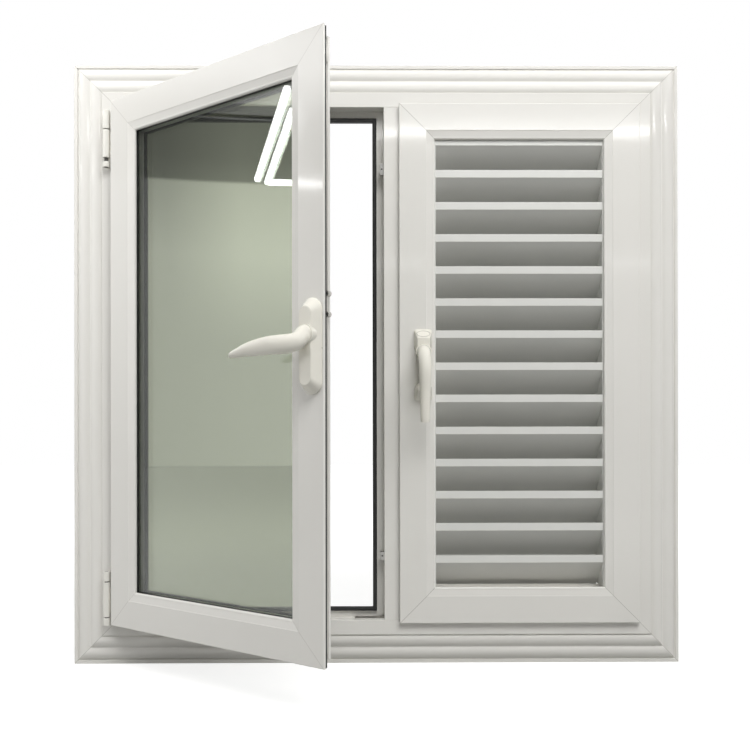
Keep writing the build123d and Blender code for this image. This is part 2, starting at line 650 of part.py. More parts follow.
pane_edge = SASH_FACE + PANE_EDGE_GAP
sash["left_bead_gasket"] = left_ring(strip_section(pane_edge, SIGHT_LINE + 0.8, BEAD_DEPTH, GLASS_FRONT))
sash["left_rear_gasket"] = left_ring(
    strip_section(pane_edge, SIGHT_LINE + 0.8, GLASS_REAR, SASH_DEPTH - REAR_LEG)
)
spacer_front = GLASS_FRONT + PANE_THICKNESS
sash["left_spacer"] = left_ring(
    strip_section(pane_edge + 1, pane_edge + 1 + SPACER_HEIGHT, spacer_front, spacer_front + SPACER_WIDTH)
)
flange_seal = left_ring(
    strip_section(SEAL_INSET, SEAL_INSET + SEAL_WIDTH, FLANGE_THICKNESS, FLANGE_THICKNESS + SEAL_THICKNESS)
)
for low, knuckles, slack in (
    (TOP_HINGE_Z, TOP_HINGE_KNUCKLES, TOP_HINGE_SLACK),
    (BOTTOM_HINGE_Z, BOTTOM_HINGE_KNUCKLES, BOTTOM_HINGE_SLACK),
):
    high = low + sum(knuckles) + slack + HINGE_RING_GAP
    flange_seal -= box_between(
        LEFT_SASH_X0, LEFT_SASH_X0 + BODY_INSET, SASH_FACE_Y, FLAT_Y,
        max(low, LIGHT_BOTTOM) - LEAF_END_GAP, high + LEAF_END_GAP,
    )
sash["left_flange_seal"] = flange_seal


def make_pane(front):
    """A pane of the double glazing with its front face at the given depth."""
    return box_between(
        LEFT_SASH_X0 + pane_edge, LEFT_SASH_X0 + LEFT_SASH_WIDTH - pane_edge,
        SASH_FACE_Y + front, SASH_FACE_Y + front + PANE_THICKNESS,
        SASH_BOTTOM + pane_edge, SASH_BOTTOM + SASH_HEIGHT - pane_edge,
    )


sash["left_inner_pane"] = make_pane(GLASS_FRONT)
sash["left_outer_pane"] = make_pane(GLASS_FRONT + PANE_THICKNESS + SPACER_WIDTH)

# Lock gear on the free edge of the left sash
side_x = LEFT_SASH_X0 + LEFT_SASH_WIDTH - BODY_INSET
strip_y = SASH_FACE_Y + LOCK_GROOVE_START + (LOCK_GROOVE_WIDTH - LOCK_STRIP_WIDTH) / 2
lock_strip = box_between(
    side_x - LOCK_STRIP_THICKNESS, side_x, strip_y, strip_y + LOCK_STRIP_WIDTH,
    SASH_BOTTOM + LOCK_STRIP_END_GAP, SASH_BOTTOM + SASH_HEIGHT - LOCK_STRIP_END_GAP,
)
slot_y = strip_y + (LOCK_STRIP_WIDTH - STRIP_SLOT_WIDTH) / 2
for rise, height in STRIP_SLOTS:
    lock_strip -= box_between(
        side_x - 2 * LOCK_STRIP_THICKNESS, side_x + LOCK_STRIP_THICKNESS,
        slot_y, slot_y + STRIP_SLOT_WIDTH, SASH_BOTTOM + rise, SASH_BOTTOM + rise + height,
    )
sash["lock_strip"] = lock_strip
block_y = strip_y + (LOCK_STRIP_WIDTH - LOCK_BLOCK_THICKNESS) / 2
block_z = SASH_MIDDLE + LOCK_BLOCK_ABOVE_MIDDLE
knob_radius = LOCK_BLOCK_REACH / 2
lock_block = box_between(
    side_x, side_x + LOCK_BLOCK_WAIST, block_y, block_y + LOCK_BLOCK_THICKNESS,
    block_z + knob_radius, block_z + LOCK_BLOCK_HEIGHT - knob_radius,
)
for knob_z in (block_z + knob_radius, block_z + LOCK_BLOCK_HEIGHT - knob_radius):
    knob = Rot(90, 0, 0) * Cylinder(knob_radius, LOCK_BLOCK_THICKNESS)
    lock_block += Pos(side_x + knob_radius, block_y + LOCK_BLOCK_THICKNESS / 2, knob_z) * knob
sash["lock_block"] = lock_block

# Handles: the left lever is turned level, the right one hangs down
left_base_x = LEFT_SASH_X0 + LEFT_SASH_WIDTH - LEFT_BASE_EDGE_DISTANCE
left_base_place = Pos(left_base_x, SASH_FACE_Y, SASH_MIDDLE + LEFT_BASE_ABOVE_MIDDLE)
right_base_place = Pos(
    RIGHT_SASH_X0 + RIGHT_BASE_EDGE_DISTANCE, SASH_FACE_Y, SASH_MIDDLE + RIGHT_BASE_ABOVE_MIDDLE
)
left_pivot = left_base_place * Pos(0, 0, LEFT_PIVOT_ABOVE_BASE_MIDDLE)
sash["left_handle_base"] = left_base_place * make_handle_base(
    SlotOverall(LEFT_BASE_HEIGHT, LEFT_BASE_WIDTH, rotation=90),
    SlotOverall(LEFT_BASE_HEIGHT - 2 * LEFT_BASE_END_SLOPE, BASE_FRONT_WIDTH, rotation=90),
    LEFT_BASE_FRONT_ROUND, NECK_RADIUS, LEFT_PIVOT_ABOVE_BASE_MIDDLE,
)
sash["left_handle_lever"] = left_pivot * Rot(0, 90, 0) * make_left_lever()
right_pivot = right_base_place * Pos(0, 0, RIGHT_PIVOT_ABOVE_BASE_MIDDLE)
right_front_height = RIGHT_BASE_HEIGHT - 2 * RIGHT_BASE_END_SLOPE
parts["right_handle_base"] = right_base_place * make_handle_base(
    waisted_face(RIGHT_BASE_WIDTH, RIGHT_BASE_HEIGHT, RIGHT_BASE_CORNER, RIGHT_WAIST_WIDTH),
    waisted_face(BASE_FRONT_WIDTH, right_front_height, RIGHT_BASE_FRONT_CORNER, RIGHT_WAIST_FRONT_WIDTH),
    RIGHT_BASE_FRONT_ROUND, RIGHT_NECK_RADIUS, RIGHT_PIVOT_ABOVE_BASE_MIDDLE,
)
parts["right_handle_lever"] = right_pivot * make_right_lever()

# Hinges
for name, low, knuckles, slack in (
    ("top_hinge", TOP_HINGE_Z, TOP_HINGE_KNUCKLES, TOP_HINGE_SLACK),
    ("bottom_hinge", BOTTOM_HINGE_Z, BOTTOM_HINGE_KNUCKLES, BOTTOM_HINGE_SLACK),
):
    frame_leaf, sash_leaf, pin = make_hinge(low, knuckles, slack)
    parts[name + "_frame_leaf"] = frame_leaf
    sash[name + "_sash_leaf"] = sash_leaf
    parts[name + "_pin"] = pin

# The left sash and all it carries turn about the hinge axis
turn = Pos(AXIS_X, AXIS_Y, 0) * Rot(0, 0, -SASH_OPENING_ANGLE) * Pos(-AXIS_X, -AXIS_Y, 0)
for name, piece in sash.items():
    parts[name] = turn * piece

# Right sash
bars = mitred_ring(sash_section(), RIGHT_SASH_X0, SASH_BOTTOM, RIGHT_SASH_WIDTH, SASH_HEIGHT)
parts["right_sash_top_rail"] = bars["top"]
parts["right_sash_bottom_rail"] = bars["bottom"]
parts["right_sash_lock_stile"] = bars["left"]
parts["right_sash_hinge_stile"] = bars["right"]
beads = mitred_ring(bead_section(), RIGHT_SASH_X0, SASH_BOTTOM, RIGHT_SASH_WIDTH, SASH_HEIGHT)
parts["right_cross_beads"] = beads["top"] + beads["bottom"]
parts["right_upright_beads"] = beads["left"] + beads["right"]
parts["right_flange_seal"] = joined_ring(
    strip_section(SEAL_INSET, SEAL_INSET + SEAL_WIDTH, FLANGE_THICKNESS, FLANGE_THICKNESS + SEAL_THICKNESS),
    RIGHT_SASH_X0, SASH_BOTTOM, RIGHT_SASH_WIDTH, SASH_HEIGHT,
)

# Louvre
carrier_y0 = SASH_FACE_Y + BLADE_SETBACK
carrier_y1 = carrier_y0 + BLADE_RUN
right_x0 = RIGHT_SASH_X0 + SIGHT_LINE
right_x1 = RIGHT_SASH_X0 + RIGHT_SASH_WIDTH - SIGHT_LINE
sight_bottom = SASH_BOTTOM + SIGHT_LINE
sight_top = SASH_BOTTOM + SASH_HEIGHT - SIGHT_LINE
parts["louvre_left_carrier"] = box_between(
    right_x0, right_x0 + CARRIER_THICKNESS, carrier_y0, carrier_y1, sight_bottom, sight_top
)
parts["louvre_right_carrier"] = box_between(
    right_x1 - CARRIER_THICKNESS, right_x1, carrier_y0, carrier_y1, sight_bottom, sight_top
)
blade_x0 = right_x0 + CARRIER_THICKNESS
blade_length = right_x1 - CARRIER_THICKNESS - blade_x0
first_lip = sight_top + TOP_LIP_RISE
blade_count = 1 + int((first_lip - BLADE_LIP - sight_bottom) / BLADE_PITCH)
blades = []
for i in range(blade_count):
    blades.append(make_blade(blade_length, blade_x0, first_lip - i * BLADE_PITCH))
parts["louvre_blades"] = Compound(children=blades)

os.makedirs("parts", exist_ok=True)
for name, piece in parts.items():
    export_step(piece, f"parts/{name}.step")
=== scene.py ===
from math import cos, pi, radians, sin

import bpy
import numpy as np
from mathutils import Matrix, Vector


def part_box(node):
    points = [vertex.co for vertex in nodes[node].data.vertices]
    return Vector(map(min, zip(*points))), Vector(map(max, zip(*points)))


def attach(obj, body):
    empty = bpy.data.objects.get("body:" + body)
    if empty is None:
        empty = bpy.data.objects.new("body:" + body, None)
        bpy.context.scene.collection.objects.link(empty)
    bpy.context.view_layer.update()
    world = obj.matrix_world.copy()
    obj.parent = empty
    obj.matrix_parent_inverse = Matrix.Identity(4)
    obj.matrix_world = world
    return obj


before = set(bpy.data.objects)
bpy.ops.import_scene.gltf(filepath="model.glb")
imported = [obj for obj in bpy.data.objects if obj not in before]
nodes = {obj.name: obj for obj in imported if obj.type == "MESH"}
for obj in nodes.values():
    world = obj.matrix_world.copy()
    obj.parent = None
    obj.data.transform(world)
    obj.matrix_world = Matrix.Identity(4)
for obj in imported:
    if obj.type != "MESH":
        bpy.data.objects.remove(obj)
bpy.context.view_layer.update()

# Frame: head, sill and two jambs of extruded aluminium with a reeded casing round the room side,
# and a plain mullion. The bars are cut at 45 degrees, crimped at the corners and stove-coated in
# white polyester powder, which leaves a glossy skin with a faint orange peel.
CASING_WHITE = "E7E5E0"
CASING_SHADE = "E1DFD9"
CASING_JOINT = "BDBAB3"
JOINT_WIDTH = 0.0003
CASING_AND_FLAT = 0.066
COAT_IOR = 1.5
BAR_ROUGHNESS = 0.075
GLOSS_STRETCH = 0.6
QUARTER_TURN = 0.25
CLOUD_SCALE = 4.0
WAVE_SCALE = 14.0
WAVE_HEIGHT = 0.00008
PEEL_SCALE = 800.0
PEEL_HEIGHT = 0.00005
PEEL_STRENGTH = 0.04
ACROSS = (1.0, 0.0, 0.0)
UPRIGHT = (0.0, 0.0, 1.0)


def linear(colour):
    """Linear red, green, blue and alpha of an sRGB hex value."""
    parts = [int(colour[i:i + 2], 16) / 255 for i in (0, 2, 4)]
    return tuple(c / 12.92 if c <= 0.04045 else ((c + 0.055) / 1.055) ** 2.4 for c in parts) + (1.0,)


def add_node(tree, kind, inputs=None, **settings):
    """A shader node with its settings, and its inputs as values or as the outputs that feed them."""
    node = tree.nodes.new(kind)
    for name, value in settings.items():
        setattr(node, name, value)
    for socket, source in (inputs or {}).items():
        if isinstance(source, bpy.types.NodeSocket):
            tree.links.new(source, node.inputs[socket])
        else:
            node.inputs[socket].default_value = source
    return node


def new_material(name):
    """An empty node material and its tree."""
    material = bpy.data.materials.new(name)
    material.use_nodes = True
    material.node_tree.nodes.clear()
    return material, material.node_tree


def finish(names, material):
    """Gives CAD nodes their material."""
    for name in names:
        nodes[name].material_slots[0].material = material


def mitre_mask(tree, place, middle, half, turn, reach):
    """1 on the hairline where two bars meet at a corner of a rectangle, 0 elsewhere.

    The distances in from the side and from the end are equal along a mitre:
    |(half_x - |x|) - (half_z - |z|)| < width, for x and z from the middle, turned about Z."""
    local = add_node(tree, "ShaderNodeMapping", {
        "Vector": place, "Location": middle, "Rotation": (0, 0, turn),
    }, vector_type="TEXTURE")
    split = add_node(tree, "ShaderNodeSeparateXYZ", {0: local.outputs[0]})
    insets = []
    for axis, size in (("X", half[0]), ("Z", half[1])):
        away = add_node(tree, "ShaderNodeMath", {0: split.outputs[axis]}, operation="ABSOLUTE")
        inset = add_node(tree, "ShaderNodeMath", {0: size, 1: away.outputs[0]}, operation="SUBTRACT")
        insets.append(inset.outputs[0])
    offset = add_node(tree, "ShaderNodeMath", {0: insets[0], 1: insets[1]}, operation="SUBTRACT")
    apart = add_node(tree, "ShaderNodeMath", {0: offset.outputs[0]}, operation="ABSOLUTE")
    line = add_node(tree, "ShaderNodeMapRange", {
        "Value": apart.outputs[0], "From Min": JOINT_WIDTH, "From Max": 2 * JOINT_WIDTH,
        "To Min": 1.0, "To Max": 0.0,
    })
    inside = add_node(tree, "ShaderNodeMath", {0: insets[0], 1: reach}, operation="LESS_THAN")
    mask = add_node(tree, "ShaderNodeMath", {0: line.outputs[0], 1: inside.outputs[0]}, operation="MULTIPLY")
    return mask.outputs[0]


def powder_coat(name, light, shade, along=None, corner=None, joint=CASING_JOINT,
                roughness=BAR_ROUGHNESS):
    """Polyester powder coat: an almost even colour, an orange peel of about 1.2 mm, a slight
    waviness, and on bars a gloss that is stretched by the marks of the extrusion die along them."""
    material, tree = new_material(name)
    place = add_node(tree, "ShaderNodeTexCoord").outputs["Object"]
    cloud = add_node(tree, "ShaderNodeTexNoise", {"Vector": place, "Scale": CLOUD_SCALE, "Detail": 3.0})
    colour = add_node(tree, "ShaderNodeMix", {
        0: cloud.outputs["Fac"], 6: linear(light), 7: linear(shade),
    }, data_type="RGBA").outputs[2]
    if corner:
        colour = add_node(tree, "ShaderNodeMix", {
            0: mitre_mask(tree, place, *corner), 6: colour, 7: linear(joint),
        }, data_type="RGBA").outputs[2]
    wave = add_node(tree, "ShaderNodeTexNoise", {"Vector": place, "Scale": WAVE_SCALE, "Detail": 0.0})
    bent = add_node(tree, "ShaderNodeBump", {
        "Height": wave.outputs["Fac"], "Strength": 1.0, "Distance": WAVE_HEIGHT,
    })
    peel = add_node(tree, "ShaderNodeTexNoise", {"Vector": place, "Scale": PEEL_SCALE, "Detail": 1.0})
    bump = add_node(tree, "ShaderNodeBump", {
        "Height": peel.outputs["Fac"], "Strength": PEEL_STRENGTH, "Distance": PEEL_HEIGHT,
        "Normal": bent.outputs["Normal"],
    })
    coat = add_node(tree, "ShaderNodeBsdfPrincipled", {
        "Base Color": colour, "Roughness": roughness, "IOR": COAT_IOR, "Normal": bump.outputs["Normal"],
    })
    if along:
        grain = add_node(tree, "ShaderNodeCombineXYZ", {0: along[0], 1: along[1], 2: along[2]})
        coat.inputs["Anisotropic"].default_value = GLOSS_STRETCH
        coat.inputs["Anisotropic Rotation"].default_value = QUARTER_TURN
        tree.links.new(grain.outputs[0], coat.inputs["Tangent"])
    add_node(tree, "ShaderNodeOutputMaterial", {"Surface": coat.outputs[0]})
    return material


sill_low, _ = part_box("frame_sill")
_, head_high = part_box("frame_head")
frame_half = (head_high.x, (head_high.z - sill_low.z) / 2)
frame_corner = ((0, 0, (head_high.z + sill_low.z) / 2), frame_half, 0.0, CASING_AND_FLAT)
finish(["frame_head", "frame_sill"], powder_coat(
    "powder_coated_head_and_sill", CASING_WHITE, CASING_SHADE, ACROSS, frame_corner))
finish(["frame_left_jamb", "frame_right_jamb"], powder_coat(
    "powder_coated_jambs", CASING_WHITE, CASING_SHADE, UPRIGHT, frame_corner))
finish(["mullion"], powder_coat("powder_coated_mullion", CASING_WHITE, CASING_SHADE, UPRIGHT))

# Gaskets: black EPDM rubber, extruded as a strip, pressed into the stop legs of the frame and
# round the glass. The skin is matt with a faint bloom, so it stays dark and shows no highlight.
GASKETS = ["left_stop_gasket", "right_stop_gasket", "left_bead_gasket", "left_rear_gasket",
           "left_flange_seal", "right_flange_seal"]
RUBBER_BLACK = "161616"
RUBBER_BLOOM = "222221"
BLOOM_SCALE = 60.0
GRAIN_SCALE = 2000.0
GRAIN_HEIGHT = 0.0002


def rubber():
    """Matt black rubber with a grain of about half a millimetre."""
    material, tree = new_material("black_epdm_rubber")
    place = add_node(tree, "ShaderNodeTexCoord").outputs["Object"]
    bloom = add_node(tree, "ShaderNodeTexNoise", {"Vector": place, "Scale": BLOOM_SCALE, "Detail": 4.0})
    colour = add_node(tree, "ShaderNodeMix", {
        0: bloom.outputs["Fac"], 6: linear(RUBBER_BLACK), 7: linear(RUBBER_BLOOM),
    }, data_type="RGBA")
    grain = add_node(tree, "ShaderNodeTexNoise", {"Vector": place, "Scale": GRAIN_SCALE})
    bump = add_node(tree, "ShaderNodeBump", {
        "Height": grain.outputs["Fac"], "Strength": 0.2, "Distance": GRAIN_HEIGHT,
    })
    skin = add_node(tree, "ShaderNodeBsdfPrincipled", {
        "Base Color": colour.outputs[2], "Roughness": 0.55, "Normal": bump.outputs["Normal"],
    })
    add_node(tree, "ShaderNodeOutputMaterial", {"Surface": skin.outputs[0]})
    return material


finish(GASKETS, rubber())

# Left sash: four mitred hollow bars with snap-in glazing beads, in the same powder coat. It
# hangs on the hinge pins and stands open, so its coordinates are turned about them.
SASH_TURN = -radians(37)
SASH_WIDTH = 0.405
SASH_HEIGHT = 0.771
SASH_EDGE_GAP = 0.009
SASH_WHITE = "E8E6E1"
SASH_SHADE = "E2E0DA"
SASH_JOINT = "B4B1AA"
LEFT_JOINT = "CFCCC6"
SIGHT_LINE = 0.053

pin_low, pin_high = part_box("top_hinge_pin")
axis_x = (pin_low.x + pin_high.x) / 2
axis_y = (pin_low.y + pin_high.y) / 2
stile_low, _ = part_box("left_sash_hinge_stile")
sash_bottom = stile_low.z


def in_sash(along, out, up):
    """Places in the left sash as rows of x, y, z.

    For a turn t, the distance along the sash from the hinge axis, the distance in front of its
    face and the height over its bottom edge: x = axis_x + along cos t + out sin t and
    y = axis_y + along sin t - out cos t."""
    along, out, up = np.broadcast_arrays(along, out, up)
    x = axis_x + along * cos(SASH_TURN) + out * sin(SASH_TURN)
    y = axis_y + along * sin(SASH_TURN) - out * cos(SASH_TURN)
    return np.stack([x, y, sash_bottom + up], axis=-1)


sash_middle = tuple(in_sash(SASH_EDGE_GAP + SASH_WIDTH / 2, 0.0, SASH_HEIGHT / 2))
sash_corner = (sash_middle, (SASH_WIDTH / 2, SASH_HEIGHT / 2), SASH_TURN, SIGHT_LINE)
finish(["left_sash_top_rail", "left_sash_bottom_rail", "left_cross_beads"], powder_coat(
    "powder_coated_left_rails", SASH_WHITE, SASH_SHADE,
    (cos(SASH_TURN), sin(SASH_TURN), 0.0), sash_corner, LEFT_JOINT))
finish(["left_sash_hinge_stile", "left_sash_lock_stile", "left_upright_beads"], powder_coat(
    "powder_coated_left_stiles", SASH_WHITE, SASH_SHADE, UPRIGHT, sash_corner, LEFT_JOINT))

# Double glazing: a clear pane on the room side and an outer pane tinted grey-green in the melt,
# so that the room mirrors sharply over a dull green. The aluminium spacer bar between them is
# folded from perforated strip.
CLEAR_GLASS = "F3F7F3"
GREY_GLASS = "989B89"
GLASS_IOR = 1.52
SPACER_LIGHT = "BBBCB9"
SPACER_SLOT = "848583"
SLOT_SCALE = 330.0


def float_glass(name, tint):
    """Polished float glass with an even body tint."""
    material, tree = new_material(name)
    glass = add_node(tree, "ShaderNodeBsdfPrincipled", {
        "Base Color": linear(tint), "Roughness": 0.0, "IOR": GLASS_IOR, "Transmission Weight": 1.0,
    })
    add_node(tree, "ShaderNodeOutputMaterial", {"Surface": glass.outputs[0]})
    return material


def spacer_strip():
    """Mill-finish aluminium strip with a row of fine slots.

    Blender's bands repeat every 2 pi / (20 scale), which is 0.95 mm here."""
    material, tree = new_material("perforated_aluminium_spacer")
    place = add_node(tree, "ShaderNodeTexCoord").outputs["Object"]
    slots = add_node(tree, "ShaderNodeTexWave", {
        "Vector": place, "Scale": SLOT_SCALE,
    }, wave_type="BANDS", bands_direction="Z")
    colour = add_node(tree, "ShaderNodeMix", {
        0: slots.outputs["Fac"], 6: linear(SPACER_SLOT), 7: linear(SPACER_LIGHT),
    }, data_type="RGBA")
    metal = add_node(tree, "ShaderNodeBsdfPrincipled", {
        "Base Color": colour.outputs[2], "Metallic": 0.6, "Roughness": 0.5,
    })
    add_node(tree, "ShaderNodeOutputMaterial", {"Surface": metal.outputs[0]})
    return material


finish(["left_inner_pane"], float_glass("clear_float_glass", CLEAR_GLASS))
finish(["left_outer_pane"], float_glass("grey_green_float_glass", GREY_GLASS))
finish(["left_spacer"], spacer_strip())

# Lock gear: a zinc-plated steel strip that slides in the groove of the free edge and a riveted
# lock block on it; the keepers are screwed into the rebate of the mullion and the sill. The
# plating gives a soft grey sheen with upright marks.
LOCK_STEEL = ("D6D4CE", "ABA9A4")
KEEPER_STEEL = ("C4C3BF", "9A9996")
MARK_SCALE = (900.0, 900.0, 20.0)


def plated_steel(name, light, shade, roughness):
    """Steel with drawing marks about 1 mm wide and 50 mm long, coarser than real ones."""
    material, tree = new_material(name)
    place = add_node(tree, "ShaderNodeTexCoord").outputs["Object"]
    stretch = add_node(tree, "ShaderNodeMapping", {"Vector": place, "Scale": MARK_SCALE})
    marks = add_node(tree, "ShaderNodeTexNoise", {
        "Vector": stretch.outputs[0], "Scale": 1.0, "Detail": 3.0,
    })
    colour = add_node(tree, "ShaderNodeMix", {
        0: marks.outputs["Fac"], 6: linear(shade), 7: linear(light),
    }, data_type="RGBA")
    bump = add_node(tree, "ShaderNodeBump", {
        "Height": marks.outputs["Fac"], "Strength": 0.1, "Distance": 0.0001,
    })
    metal = add_node(tree, "ShaderNodeBsdfPrincipled", {
        "Base Color": colour.outputs[2], "Metallic": 1.0, "Roughness": roughness,
        "Normal": bump.outputs["Normal"],
    })
    add_node(tree, "ShaderNodeOutputMaterial", {"Surface": metal.outputs[0]})
    return material


lock_steel = plated_steel("zinc_plated_lock_steel", *LOCK_STEEL, roughness=0.38)
finish(["lock_strip", "lock_block", "sill_keeper"], lock_steel)
finish(["upper_keeper", "lower_keeper"], plated_steel("satin_keeper_steel", *KEEPER_STEEL, roughness=0.45))

# Screws and guide of the lock gear: blackened pan heads, seen as dark dots, driven from the room
# side into the lock block, the keepers and the stile, and a zinc guide that holds the top of the
# strip. Places are along the sash, in front of its face and over its bottom edge.
SCREW_BLACK = "2A2A2A"
BLOCK_ALONG = 0.410
BLOCK_FRONT = -0.010
BLOCK_SCREW_UPS = (0.4250, 0.4500)
BLOCK_SCREW_RADIUS = 0.0016
STILE_SCREW = (0.4113, 0.0, 0.3833)
STILE_SCREW_RADIUS = 0.0009
KEEPER_SCREW_RADIUS = 0.0012
STRIP_ALONG = 0.4065
GUIDE_UP = 0.727
GUIDE_OUTLINE = ((-0.0005, 0.0), (0.003, 0.003), (0.0035, 0.006), (0.0035, 0.020), (0.003, 0.023),
                 (-0.0005, 0.026))
GUIDE_OUT = (-0.009, -0.015)
KEEPER_SCREW_DROP = {"upper_keeper": 0.0085, "lower_keeper": 0.006}


def revolved(profile, centre, axis, steps=20):
    """Corners and faces of a solid of revolution, closed at both ends of its profile.

    Each profile row is a radius r and a height h; its ring is
    centre + r (side cos a + up sin a) + h axis, for the angles a round the axis."""
    axis = np.array(axis) / np.linalg.norm(axis)
    side = np.cross(axis, (0, 0, 1) if abs(axis[2]) < 0.9 else (1, 0, 0))
    side /= np.linalg.norm(side)
    up = np.cross(axis, side)
    angle = np.linspace(0, 2 * pi, steps, endpoint=False)
    ring = np.cos(angle)[:, None] * side + np.sin(angle)[:, None] * up
    rows = [np.array(centre) + r * ring + h * axis for r, h in profile]
    faces = []
    for row in range(len(profile) - 1):
        for i in range(steps):
            j = (i + 1) % steps
            a, b = row * steps, (row + 1) * steps
            faces.append((a + i, a + j, b + j, b + i))
    faces.append(tuple(range(steps))[::-1])
    faces.append(tuple(range((len(profile) - 1) * steps, len(profile) * steps)))
    return np.concatenate(rows), faces


def prism(near, far):
    """Corners and faces between two equal outlines given as rows of x, y, z."""
    count = len(near)
    faces = [(i, (i + 1) % count, count + (i + 1) % count, count + i) for i in range(count)]
    faces.append(tuple(range(count))[::-1])
    faces.append(tuple(range(count, 2 * count)))
    return np.concatenate([near, far]), faces


def add_piece(name, shapes, material):
    """One smooth-shaded object from several shapes of corners and faces, riding on the window."""
    corners, faces, start = [], [], 0
    for points, polygons in shapes:
        corners.append(points)
        faces += [tuple(start + i for i in polygon) for polygon in polygons]
        start += len(points)
    mesh = bpy.data.meshes.new(name)
    mesh.from_pydata(np.concatenate(corners).tolist(), [], faces)
    mesh.shade_smooth()
    mesh.set_sharp_from_angle(angle=radians(35))
    mesh.materials.append(material)
    piece = bpy.data.objects.new(name, mesh)
    bpy.context.scene.collection.objects.link(piece)
    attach(piece, "root")


def screw_head(centre, axis, radius):
    """A pan head: a low dome whose rim stands on the surface, with a round recess."""
    height = 0.35 * radius
    profile = [(radius, -0.2 * radius), (radius, 0.0), (0.85 * radius, 0.6 * height),
               (0.5 * radius, 0.95 * height), (0.3 * radius, height), (0.25 * radius, 0.5 * height)]
    return revolved(profile, centre, axis)


black_screw, screw_tree = new_material("blackened_screw_steel")
blackened = add_node(screw_tree, "ShaderNodeBsdfPrincipled", {
    "Base Color": linear(SCREW_BLACK), "Metallic": 1.0, "Roughness": 0.4,
})
add_node(screw_tree, "ShaderNodeOutputMaterial", {"Surface": blackened.outputs[0]})
facing = in_sash(0.0, 1.0, 0.0) - in_sash(0.0, 0.0, 0.0)
heads = []
for up in BLOCK_SCREW_UPS:
    heads.append(screw_head(in_sash(BLOCK_ALONG, BLOCK_FRONT, up), facing, BLOCK_SCREW_RADIUS))
heads.append(screw_head(in_sash(*STILE_SCREW), facing, STILE_SCREW_RADIUS))
add_piece("lock_block_screws", heads, black_screw)
outline = np.array(GUIDE_OUTLINE)
sides = [in_sash(STRIP_ALONG + outline[:, 0], out, GUIDE_UP + outline[:, 1]) for out in GUIDE_OUT]
add_piece("strip_guide", [prism(*sides)], lock_steel)
heads = []
for keeper, drop in KEEPER_SCREW_DROP.items():
    low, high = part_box(keeper)
    centre = ((low.x + high.x) / 2, low.y, high.z - drop)
    heads.append(screw_head(centre, (0, -1, 0), KEEPER_SCREW_RADIUS))
add_piece("keeper_screws", heads, black_screw)

# Hinges: steel barrels and leaves in a warm white gloss paint, turning on bare steel pins that
# show as dark rings between the knuckles.
HINGE_LEAVES = ["top_hinge_frame_leaf", "top_hinge_sash_leaf", "bottom_hinge_frame_leaf",
                "bottom_hinge_sash_leaf"]
HINGE_PAINT = ("EAE8E1", "E4E2DA")
PIN_STEEL = ("6A6966", "454441")
finish(HINGE_LEAVES, powder_coat("gloss_hinge_paint", *HINGE_PAINT, roughness=0.2))
finish(["top_hinge_pin", "bottom_hinge_pin"], plated_steel("bare_pin_steel", *PIN_STEEL, roughness=0.35))

# Handles: die-cast bases and levers in a cream gloss powder coat, a little warmer than the bars.
# Each base is screwed through the stile, and an oval cap on its sloped end hides the screw.
# The cap's joint is a thin shaded line. The base's slope is the ratio of its depth to its height.
HANDLES = ["left_handle_base", "left_handle_lever", "right_handle_base", "right_handle_lever"]
HANDLE_CREAM = ("E8E5DB", "E3E0D5")
CAP_JOINT = "99968C"
CAP_HALF_WIDTH = 0.0098
CAP_HALF_HEIGHT = 0.0062
CAP_LINE = 0.00032
CAP_BELOW_TOP = 0.0098
BASE_SLOPE = (12.5, 14.0)
BASE_WALL = 0.0025
finish(HANDLES, powder_coat("cream_handle_coat", *HANDLE_CREAM, roughness=0.16))


def oval_line(centre, side, up, radius, steps=64, turns=6):
    """A thin tube along an oval: centre + side a cos t + up b sin t, with the tube's radius."""
    t = np.linspace(0, 2 * pi, steps, endpoint=False)
    side, up = np.array(side), np.array(up)
    out = np.cross(side, up)
    away = np.cos(t)[:, None] * side + np.sin(t)[:, None] * up
    path = centre + CAP_HALF_WIDTH * np.cos(t)[:, None] * side + CAP_HALF_HEIGHT * np.sin(t)[:, None] * up
    angles = np.linspace(0, 2 * pi, turns, endpoint=False)
    rings = [path + radius * (cos(a) * away + sin(a) * out) for a in angles]
    faces = []
    for k in range(turns):
        for i in range(steps):
            a, b, j = k * steps, (k + 1) % turns * steps, (i + 1) % steps
            faces.append((a + i, a + j, b + j, b + i))
    return np.concatenate(rings), faces


base_low, base_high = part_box("right_handle_base")
slope_up = np.array((0.0, *BASE_SLOPE)) / np.hypot(*BASE_SLOPE)
slope_top = np.array(((base_low.x + base_high.x) / 2, base_high.y - BASE_WALL, base_high.z))
cap_joint, cap_tree = new_material("shaded_cap_joint")
joint_paint = add_node(cap_tree, "ShaderNodeBsdfPrincipled", {
    "Base Color": linear(CAP_JOINT), "Roughness": 0.6,
})
add_node(cap_tree, "ShaderNodeOutputMaterial", {"Surface": joint_paint.outputs[0]})
ring = oval_line(slope_top - CAP_BELOW_TOP * slope_up, (1, 0, 0), slope_up, CAP_LINE)
add_piece("screw_cap_joint", [ring], cap_joint)

# Right sash: the same bars and beads as the left one, closed against the frame, with louvre
# blades instead of glass.
right_low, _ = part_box("right_sash_lock_stile")
_, right_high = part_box("right_sash_hinge_stile")
right_middle = ((right_low.x + right_high.x) / 2, 0, (right_low.z + right_high.z) / 2)
right_half = ((right_high.x - right_low.x) / 2, (right_high.z - right_low.z) / 2)
right_corner = (right_middle, right_half, 0.0, SIGHT_LINE)
finish(["right_sash_top_rail", "right_sash_bottom_rail", "right_cross_beads"], powder_coat(
    "powder_coated_right_rails", SASH_WHITE, SASH_SHADE, ACROSS, right_corner, SASH_JOINT))
finish(["right_sash_lock_stile", "right_sash_hinge_stile", "right_upright_beads"], powder_coat(
    "powder_coated_right_stiles", SASH_WHITE, SASH_SHADE, UPRIGHT, right_corner, SASH_JOINT))

